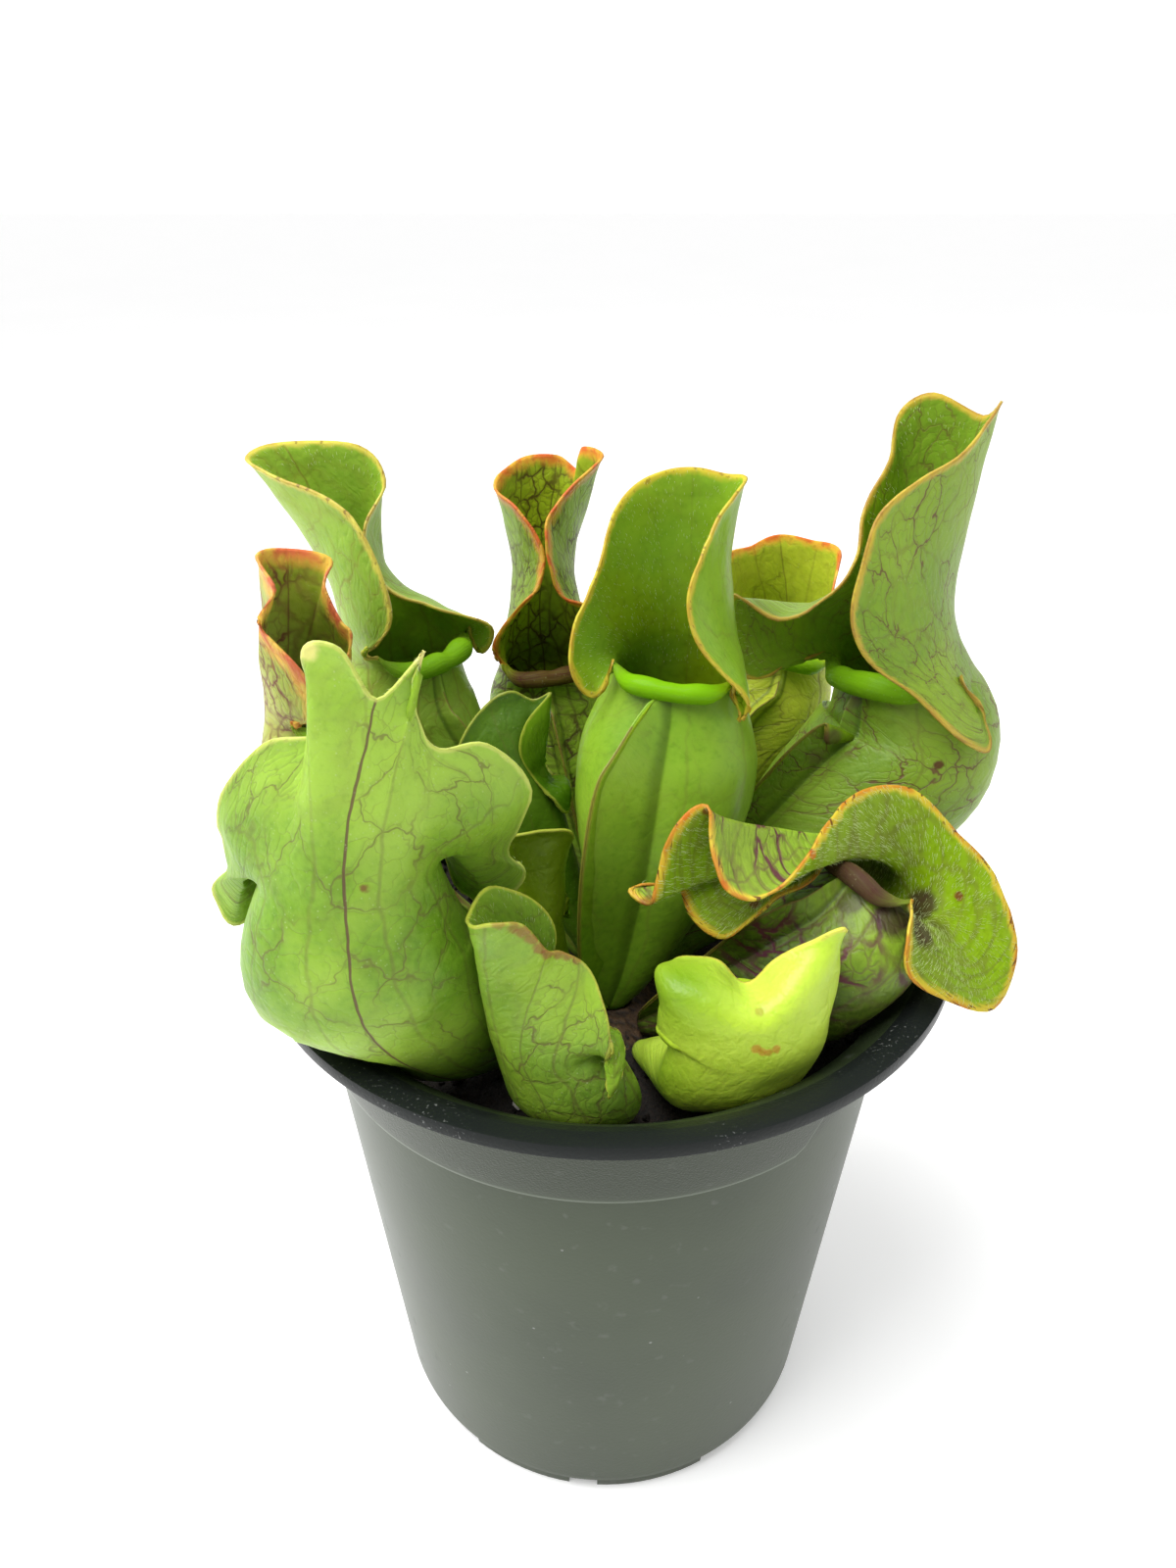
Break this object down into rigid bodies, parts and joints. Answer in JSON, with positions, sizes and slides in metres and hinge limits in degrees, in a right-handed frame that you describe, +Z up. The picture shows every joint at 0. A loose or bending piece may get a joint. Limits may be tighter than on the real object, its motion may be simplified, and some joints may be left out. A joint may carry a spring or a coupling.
{
  "type": "potted pitcher plant",
  "caption": "Rosette of hollow green pitcher leaves with winged fronts, rolled lips and waved hoods, growing from a rhizome in a peat-filled round plastic nursery pot.",
  "frame": {"origin": "centre of the whole object's footprint, on the surface that the pot's feet stand on", "axes": "+Z up, -Y towards the front of the plant as pictured, +X to the viewer's right"},
  "size_m": [0.178, 0.165, 0.263],
  "materials": {
    "pot_plastic": "satin grey-green moulded plastic, with a glossy near-black rim and inside",
    "peat": "dark damp peat with pale grains",
    "rhizome": "matt brown skin",
    "leaf": "waxy satin leaf skin, with dark veins and golden to red-brown margins"
  },
  "bodies": {
    "root": {"pot": "pot_plastic", "peat": "peat", "rhizome_and_roots": "rhizome", "pitcher_front_left": "leaf", "pitcher_centre_tall": "leaf", "pitcher_back_right": "leaf", "pitcher_back_left": "leaf", "pitcher_left_red": "leaf", "pitcher_back_centre": "leaf", "pitcher_far_back": "leaf", "pitcher_right_front": "leaf", "pitcher_front_small": "leaf", "pitcher_front_right_young": "leaf", "pitcher_middle": "leaf", "pitcher_middle_young": "leaf"}
  },
  "joints": []
}
